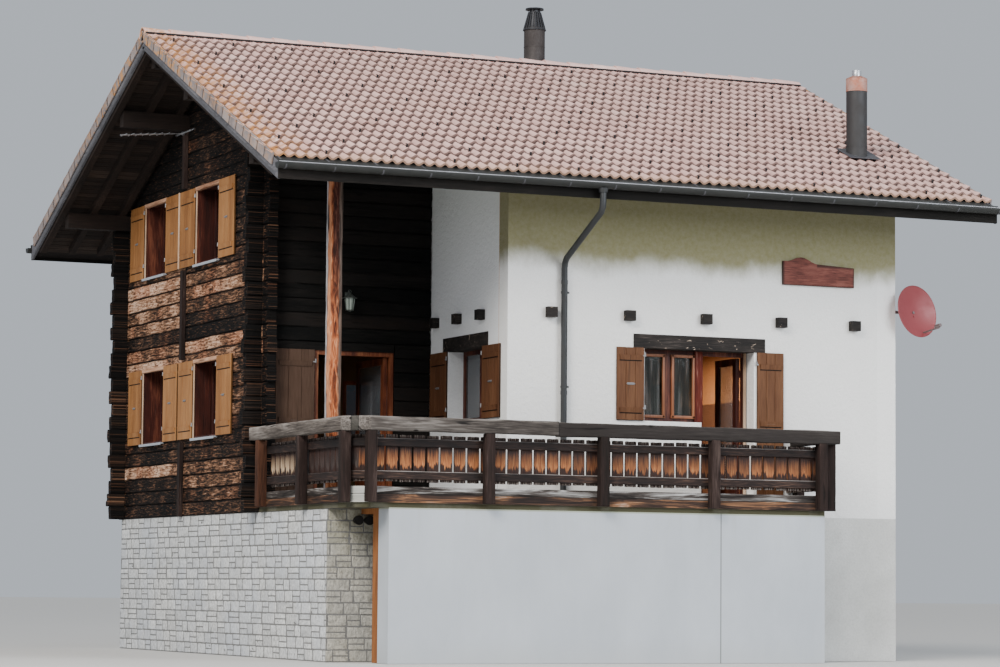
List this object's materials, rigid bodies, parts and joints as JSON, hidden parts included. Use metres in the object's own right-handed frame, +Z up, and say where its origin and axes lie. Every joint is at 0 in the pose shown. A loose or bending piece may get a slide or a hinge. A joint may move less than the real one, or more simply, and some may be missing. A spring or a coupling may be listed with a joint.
{
  "type": "alpine chalet",
  "caption": "Gabled mountain house: log gable beside a rendered half, covered corner terrace with timber railing, wavy tiled roof, stone-faced basement, hinged doors.",
  "frame": {"origin": "on the ground, under the middle of the house walls, terrace left out", "axes": "+Z up, +X along the ridge from the log gable to the masonry gable, the terrace side looks towards -Y"},
  "size_m": [10.815, 11.88, 9.87],
  "materials": {
    "cellar_concrete": "rough concrete",
    "split_stone": "split-face blocks, matt",
    "base_render": "rough render, matt",
    "skirt_panel": "smooth panels, matt",
    "jamb_wood": "oiled, satin",
    "vent_black": "matt",
    "floor_boards": "satin",
    "slab_concrete": "worn concrete",
    "fascia_wood": "weathered, matt",
    "post_wood": "stained, satin",
    "rail_wood": "weathered grey, matt",
    "infill_wood": "scorched and oiled",
    "loggia_post_wood": "oiled, satin",
    "log_wood": "sun-dark, matt",
    "render_white": "roughcast, matt",
    "deck_wood": "planed, matt",
    "beam_wood": "stained, satin",
    "window_wood": "varnished, satin",
    "pane_glass": "clear",
    "sill_metal": "weathered, satin",
    "shutter_wood": "varnished, satin",
    "door_wood": "varnished, satin",
    "purlin_wood": "stained, matt",
    "rafter_wood": "stained, matt",
    "soffit_wood": "sun-dark, matt",
    "roof_tile": "weathered, matt",
    "verge_wood": "painted, matt",
    "gutter_metal": "satin",
    "pipe_metal": "satin",
    "flue_metal": "satin",
    "stack_metal": "weathered",
    "lantern_metal": "satin",
    "sign_wood": "oiled, satin",
    "dish_metal": "satin",
    "antenna_metal": "satin"
  },
  "bodies": {
    "house": {"cellar_floor": "cellar_concrete", "stone_base_wall": "split_stone", "plain_base_wall": "base_render", "terrace_skirt_wall": "skirt_panel", "cellar_frame": "jamb_wood", "terrace_vents": "vent_black", "living_floor": "floor_boards", "terrace_slab": "slab_concrete", "terrace_fascia": "fascia_wood", "terrace_posts": "post_wood", "terrace_hand_rails": "rail_wood", "terrace_infill": "infill_wood", "loggia_post": "loggia_post_wood", "gable_log_wall": "log_wood", "loggia_log_wall_left": "log_wood", "loggia_log_wall_right": "log_wood", "loggia_log_wall_over": "log_wood", "back_log_wall": "log_wood", "gable_clamp": "jamb_wood", "loggia_masonry_wall": "render_white", "front_wall_left": "render_white", "front_wall_right": "render_white", "front_wall_over": "render_white", "right_masonry_wall": "render_white", "back_masonry_wall": "render_white", "upper_floor": "deck_wood", "floor_beams": "beam_wood", "lintels": "beam_wood", "window_frames": "window_wood", "window_glass": "pane_glass", "window_sills": "sill_metal", "shutters": "shutter_wood", "loggia_door_frame": "door_wood", "front_door_frame": "window_wood", "purlins": "purlin_wood", "rafters": "rafter_wood", "roof_boards": "soffit_wood", "front_tiles": "roof_tile", "back_tiles": "roof_tile", "ridge_tiles": "roof_tile", "verge_boards": "verge_wood", "eave_boards": "verge_wood", "gutters": "gutter_metal", "downpipes": "pipe_metal", "round_flue": "flue_metal", "ridge_chimney": "stack_metal", "wall_lantern": "lantern_metal", "sign_board": "sign_wood", "satellite_dish": "dish_metal", "antenna": "antenna_metal"},
    "front_door_leaf": {"front_door": "window_wood", "front_door_glass": "pane_glass"},
    "loggia_door_leaf": {"loggia_door": "door_wood", "loggia_door_glass": "pane_glass"}
  },
  "joints": [
    {"name": "front_door_hinge", "type": "hinge", "parent": "house", "child": "front_door_leaf", "pos_m": [1.951, -4.225, 2.289], "axis": [0, 0, 1], "range_deg": [0, 90]},
    {"name": "loggia_door_hinge", "type": "hinge", "parent": "house", "child": "loggia_door_leaf", "pos_m": [-2.379, -1.775, 2.289], "axis": [0, 0, 1], "range_deg": [0, 90]}
  ]
}
